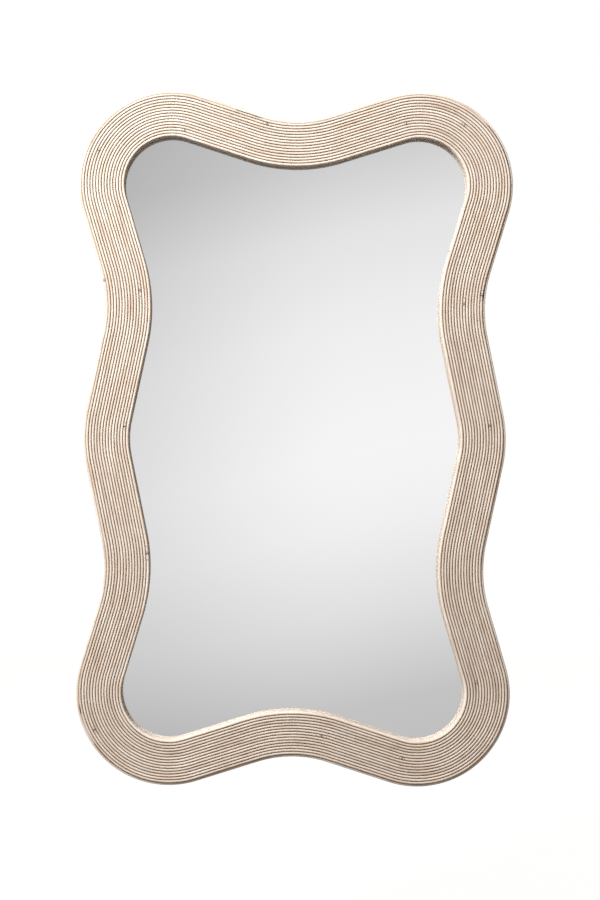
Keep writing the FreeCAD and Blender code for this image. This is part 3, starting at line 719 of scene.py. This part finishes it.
def pan_head_screw():
    """A pan-head screw, standing on its point, with the seat of its head at the origin."""
    head = [(0, SCREW_HEAD_HEIGHT), (1.7, SCREW_HEAD_HEIGHT - 0.06), (2.6, SCREW_HEAD_HEIGHT - 0.38),
            (3.05, SCREW_HEAD_HEIGHT - 0.9), (SCREW_HEAD, 0.45), (SCREW_HEAD, 0.12), (SCREW_HEAD - 0.12, 0)]
    shank = [(SCREW_SHANK, 0), (SCREW_SHANK, SCREW_POINT - SCREW_LENGTH), (0, -SCREW_LENGTH)]
    return cut_cross(spun(head + shank, 20), RECESS_WIDTH, RECESS_LENGTH, RECESS_DEPTH, SCREW_HEAD_HEIGHT)


PANEL_SCREW_INSET = 38.0
SCREW_TURNS = {BULGE: (0,), SIDE_HOLLOW: (-16, 16), CORNER: (-50, 0, 50), TOP_HOLLOW: (0,)}
TO_WALL = (0, -1, 0)
screw_places = []
for bend, (kind, *_) in enumerate(QUARTER_SIGNS):
    for turned in SCREW_TURNS[kind]:
        (x, z), _ = on_bend(bend, turned, PANEL_SCREW_INSET)
        screw_places.append(facing_matrix((x, 0, z), TO_WALL))
show(copies("panel_screw_set", pan_head_screw(), screw_places), "frame", ["panel_screws"],
     zinc_steel)

HANGER_X = 296.975
HANGER_AXIS_Y = 2.75
HANGER_Z = 250.75
STRAP_THICKNESS = 1.2
STRAP_SCREW_DROPS = (22.5, 35.5)
hanger_places = [facing_matrix((side * HANGER_X, STRAP_THICKNESS, HANGER_Z - drop), TO_WALL)
                 for side in (-1, 1) for drop in STRAP_SCREW_DROPS]
hanger_screws = show(copies("hanger_screw_set", pan_head_screw(), hanger_places), "frame",
                     ["hanger_screws"], zinc_steel)
print("screws", len(screw_places), "+", len(hanger_places), "faces each",
      len(hanger_screws.data.polygons) // len(hanger_places))

# %% [markdown]
# ## Wall bumpers
# Four moulded rubber feet keep the frame off the wall. Each is a low cone with a rounded end, which a
# spun profile makes in one go. Moulded rubber is black, matte and finely grained.

# %% Bumpers
BUMPER_TURN = 25
BUMPER_INSET = 40.0
material, tree = new_material("moulded_rubber")
place = add_node(tree, "ShaderNodeTexCoord").outputs["Object"]
grain = add_node(tree, "ShaderNodeTexNoise", {"Vector": place, "Scale": 2500.0, "Detail": 2.0})
colour = add_node(tree, "ShaderNodeMix",
                  {0: grain.outputs[0], 6: linear("#1C1C1C"), 7: linear("#2C2B2A")}, data_type="RGBA")
bump = add_node(tree, "ShaderNodeBump", {"Strength": 0.2, "Distance": 0.0001, "Height": grain.outputs[0]})
rubber_shader = add_node(tree, "ShaderNodeBsdfPrincipled",
                         {"Base Color": colour.outputs[2], "Roughness": 0.68, "Normal": bump.outputs[0]})
rubber_shader.inputs["IOR"].default_value = 1.52
finish_material(tree, rubber_shader)
bumper = spun([(0, 0), (6.0, 0), (6.0, 0.5), (4.95, 4.9), (4.72, 5.5), (4.4, 5.85), (3.9, 6.0), (0, 6.0)], 28)
bumper_places = []
for bend, (kind, side_x, side_z) in enumerate(QUARTER_SIGNS):
    if kind is CORNER:
        (x, z), _ = on_bend(bend, BUMPER_TURN * side_x * side_z, BUMPER_INSET)
        bumper_places.append(facing_matrix((x, 0, z), TO_WALL))
show(copies("rubber_bumpers", bumper, bumper_places), "frame", ["wall_bumpers"],
     material)
print("bumpers", len(bumper_places))

# %% [markdown]
# ## Hangers
# Each hanger is a steel strap whose upper end is rolled into an eye, and a D-ring of bent wire that
# swings in it. The strap starts as a disc whose upper half is pulled up to a straight end, gets its
# thickness, and has that end spun into the eye. The ring is a circle carried round the D by extrudes and
# spins, as the wire is bent on a jig.

# %% Strap
EYE_INNER = 1.33
EYE_SWEEP, EYE_STEPS = 335, 30
STRAP_HALF = 6.0
STRAP_REACH = 43.5
JOGGLE_START = -7.0


def rolled_strap():
    """A strap that hangs down from the origin, with its eye round the X axis at the ring's height."""
    bm = bmesh.new()
    bmesh.ops.create_circle(bm, cap_ends=True, segments=32, radius=STRAP_HALF * MM)
    bmesh.ops.rotate(bm, verts=bm.verts, cent=(0, 0, 0), matrix=Matrix.Rotation(math.radians(90), 3, "X"))
    bmesh.ops.translate(bm, verts=bm.verts, vec=(0, 0, (STRAP_HALF - STRAP_REACH) * MM))
    for vert in bm.verts:
        if vert.co.z > (STRAP_HALF - STRAP_REACH) * MM + 1e-7:
            vert.co.z = JOGGLE_START * MM
    thick = bmesh.ops.extrude_face_region(bm, geom=list(bm.faces))
    raised = [item for item in thick["geom"] if isinstance(item, bmesh.types.BMVert)]
    bmesh.ops.translate(bm, verts=raised, vec=(0, STRAP_THICKNESS * MM, 0))
    bm.normal_update()
    middle_y = HANGER_AXIS_Y - EYE_INNER - STRAP_THICKNESS
    top = [face for face in bm.faces if face.calc_center_median().z > (JOGGLE_START - 0.01) * MM]
    lifted = bmesh.ops.extrude_face_region(bm, geom=top)
    bmesh.ops.delete(bm, geom=top, context="FACES_ONLY")
    verts = [item for item in lifted["geom"] if isinstance(item, bmesh.types.BMVert)]
    bmesh.ops.translate(bm, verts=verts, vec=(0, middle_y * MM, -JOGGLE_START * MM))
    faces = [item for item in lifted["geom"] if isinstance(item, bmesh.types.BMFace)]
    bmesh.ops.spin(bm, geom=faces, cent=(0, HANGER_AXIS_Y * MM, 0), axis=(1, 0, 0),
                   angle=math.radians(EYE_SWEEP), steps=EYE_STEPS)
    bmesh.ops.remove_doubles(bm, verts=bm.verts, dist=1e-7)
    bmesh.ops.recalc_face_normals(bm, faces=bm.faces)
    for face in bm.faces:
        face.smooth = True
    return bm


# %% Ring
WIRE_RADIUS = 1.25
RING_HALF = 10.25
RING_HEIGHT = 16.5
RING_CORNER = 2.6


def last_part(result):
    """The vertices and edges that a spin or an extrude ends in."""
    geom = result["geom_last"] if "geom_last" in result else result["geom"]
    return [item for item in geom if not isinstance(item, bmesh.types.BMFace)]


def push(bm, ends, move):
    """Carries an open tube's end straight on."""
    edges = [item for item in ends if isinstance(item, bmesh.types.BMEdge)]
    ends = last_part(bmesh.ops.extrude_edge_only(bm, edges=edges))
    verts = [item for item in ends if isinstance(item, bmesh.types.BMVert)]
    bmesh.ops.translate(bm, verts=verts, vec=Vector(move) * MM)
    return ends


def turn(bm, ends, centre, degrees, steps):
    """Carries an open tube's end round a centre in the plane of the ring."""
    return last_part(bmesh.ops.spin(bm, geom=ends, cent=Vector(centre) * MM, axis=(0, 1, 0),
                                    angle=math.radians(degrees), steps=steps))


def bent_ring():
    """A D-ring that hangs down from its straight side, which lies along X at the origin."""
    bm = bmesh.new()
    reach = RING_HALF - RING_CORNER
    bmesh.ops.create_circle(bm, segments=20, radius=WIRE_RADIUS * MM)
    bmesh.ops.rotate(bm, verts=bm.verts, cent=(0, 0, 0), matrix=Matrix.Rotation(math.radians(90), 3, "Y"))
    bmesh.ops.translate(bm, verts=bm.verts, vec=(-reach * MM, 0, 0))
    side = RING_HEIGHT - RING_HALF - RING_CORNER
    ends = push(bm, list(bm.verts) + list(bm.edges), (2 * reach, 0, 0))
    ends = turn(bm, ends, (reach, 0, -RING_CORNER), 90, 8)
    ends = push(bm, ends, (0, 0, -side))
    ends = turn(bm, ends, (0, 0, RING_HALF - RING_HEIGHT), 180, 32)
    ends = push(bm, ends, (0, 0, side))
    turn(bm, ends, (-reach, 0, -RING_CORNER), 90, 8)
    bmesh.ops.remove_doubles(bm, verts=bm.verts, dist=1e-6)
    bmesh.ops.recalc_face_normals(bm, faces=bm.faces)
    for face in bm.faces:
        face.smooth = True
    return bm


# %% Hangers in place
for side_name, side in (("left", -1), ("right", 1)):
    strap_place = [Matrix.Translation(Vector((side * HANGER_X, 0, HANGER_Z)) * MM)]
    ring_place = [Matrix.Translation(Vector((side * HANGER_X, HANGER_AXIS_Y, HANGER_Z)) * MM)]
    show(copies(f"strap_{side_name}", rolled_strap(), strap_place), "frame",
         [f"hanger_strap_{side_name}"], zinc_steel)
    ring = show(copies(f"ring_{side_name}", bent_ring(), ring_place), f"ring_{side_name}",
                [f"hanger_ring_{side_name}"], zinc_steel)
    low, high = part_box(f"hanger_ring_{side_name}")
    print("ring", side_name, "packed", [round(v, 4) for v in high - low],
          "made", [round(v, 4) for v in ring.dimensions])

# %% [markdown]
# ## Studio
# A plain pale floor, a fairly hard key light from the upper left, and a low fill that comes mostly from
# the same side, so that the grooves between the reeds stay dark as they do in the photograph. The mirror
# shows what stands in front of it, which here is a soft grey studio that is brightest at eye height and
# darker to the left, so the sky has that gradient for reflected rays, and plain white for the camera.

# %% Sky
KEY_PLACE = (-1.45, -1.78, 1.85)
# how far a reflected ray rises, and the grey that it meets there
STUDIO_GREYS = [(-0.45, "#D8D8D8"), (-0.22, "#BCBCBC"), (-0.134, "#CBCBCB"), (-0.088, "#E9E9E9"),
                (-0.045, "#FAFAFA"), (-0.01, "#FFFFFF"), (0.05, "#F9F9F9"), (0.10, "#EDEDED"),
                (0.14, "#D4D4D4"), (0.22, "#C0C0C0"), (0.45, "#EAEAEA")]
world =bpy.data.worlds.new("studio")
bpy.context.scene.world = world
world.use_nodes = True
sky = world.node_tree
sky.nodes.clear()
away = add_node(sky, "ShaderNodeTexCoord").outputs["Generated"]
direction = add_node(sky, "ShaderNodeSeparateXYZ", {0: away})
# the bands of grey lean, a little lower on the right
leaning = add_node(sky, "ShaderNodeMath", {0: direction.outputs["X"], 1: -0.23, 2: direction.outputs["Z"]},
                   operation="MULTIPLY_ADD")
height = add_node(sky, "ShaderNodeMapRange", {0: leaning.outputs[0], 1: -0.5, 2: 0.5})
studio_ramp = add_ramp(sky, height.outputs[0], [(rise + 0.5, grey) for rise, grey in STUDIO_GREYS])
sideways = add_node(sky, "ShaderNodeMapRange",
                    {0: direction.outputs["X"], 1: -0.12, 2: 0.05, 3: 0.74, 4: 1.0},
                    interpolation_type="SMOOTHSTEP")
reflected = add_node(sky, "ShaderNodeBackground",
                     {"Color": studio_ramp.outputs[0], "Strength": sideways.outputs[0]})
facing_key = add_node(sky, "ShaderNodeVectorMath", {0: away, 1: Vector(KEY_PLACE).normalized()},
                      operation="DOT_PRODUCT")
front_fill = add_node(sky, "ShaderNodeMapRange",
                      {0: facing_key.outputs["Value"], 1: -0.4, 2: 1.0, 3: 0.10, 4: 0.49})
# the white backdrop behind the mirror lights its outer edge from the back
backdrop = add_node(sky, "ShaderNodeMapRange", {0: direction.outputs["Y"], 1: -0.25, 2: 0.15, 3: 0.0, 4: 1.1})
fill_level = add_node(sky, "ShaderNodeMath", {0: front_fill.outputs[0], 1: backdrop.outputs[0]},
                      operation="MAXIMUM")
rays = add_node(sky, "ShaderNodeLightPath")
shiny = add_node(sky, "ShaderNodeMath",
                 {0: rays.outputs["Is Glossy Ray"], 1: rays.outputs["Is Transmission Ray"]},
                 operation="MAXIMUM")
# hardly any light reaches the inner wall by way of the glass
first = add_node(sky, "ShaderNodeMath", {0: rays.outputs["Diffuse Depth"], 1: 0.5}, operation="LESS_THAN")
later = add_node(sky, "ShaderNodeMath", {0: shiny.outputs[0], 1: first.outputs[0]}, operation="GREATER_THAN")
passed = add_node(sky, "ShaderNodeMapRange", {0: later.outputs[0], 3: 1.0, 4: 0.12})
fill_level = add_node(sky, "ShaderNodeMath", {0: fill_level.outputs[0], 1: passed.outputs[0]},
                      operation="MULTIPLY")
fill = add_node(sky, "ShaderNodeBackground", {"Color": linear("#FFF5EB"), "Strength": fill_level.outputs[0]})
white = add_node(sky, "ShaderNodeBackground", {"Color": linear("#FFFFFF"), "Strength": 1.0})
in_glass = add_node(sky, "ShaderNodeMath", {0: shiny.outputs[0], 1: first.outputs[0]}, operation="MULTIPLY")
seen = add_node(sky, "ShaderNodeMixShader",
                {0: in_glass.outputs[0], 1: fill.outputs[0], 2: reflected.outputs[0]})
whole = add_node(sky, "ShaderNodeMixShader",
                 {0: rays.outputs["Is Camera Ray"], 1: seen.outputs[0], 2: white.outputs[0]})
add_node(sky, "ShaderNodeOutputWorld", {"Surface": whole.outputs[0]})

# %% Floor
FLOOR_LEVEL = -0.95
FLOOR_HALF = 6.0
floor_mesh = bpy.data.meshes.new("floor")
bm = bmesh.new()
bmesh.ops.create_grid(bm, x_segments=1, y_segments=1, size=FLOOR_HALF)
bmesh.ops.translate(bm, verts=bm.verts, vec=(0, 0, FLOOR_LEVEL))
bm.to_mesh(floor_mesh)
bm.free()
floor = bpy.data.objects.new("floor", floor_mesh)
bpy.context.scene.collection.objects.link(floor)
# the floor throws no light up, which leaves the underside of the window's upper edge dark
floor.visible_glossy = False
floor.visible_diffuse = False
floor_material, tree = new_material("painted_floor")
paint = add_node(tree, "ShaderNodeBsdfDiffuse", {"Color": linear("#F2F2F2")})
glow = add_node(tree, "ShaderNodeEmission", {"Color": linear("#FFFFFF"), "Strength": 1.04})
rays = add_node(tree, "ShaderNodeLightPath")
# the camera sees mostly an even white, and the object's shadow only in the rest
camera_share = add_node(tree, "ShaderNodeMath", {0: rays.outputs["Is Camera Ray"], 1: 0.9},
                        operation="MULTIPLY")
finish_material(tree, add_node(tree, "ShaderNodeMixShader",
                               {0: camera_share.outputs[0], 1: paint.outputs[0], 2: glow.outputs[0]}))
give(floor, floor_material)


# %% Lamp
# half a metre square, so its shadows are fairly hard at this distance
KEY_SIZE = 0.5
KEY_WATTS = 117.0
key_light = bpy.data.lights.new("key_lamp", "AREA")
key_light.size = KEY_SIZE
key_light.energy = KEY_WATTS
key_lamp = bpy.data.objects.new("key_lamp", key_light)
key_lamp.location = KEY_PLACE
key_lamp.rotation_euler = (-Vector(KEY_PLACE)).to_track_quat("-Z", "Y").to_euler()
bpy.context.scene.collection.objects.link(key_lamp)
print("studio ready, lamp", round(Vector(KEY_PLACE).length, 2), "m away")
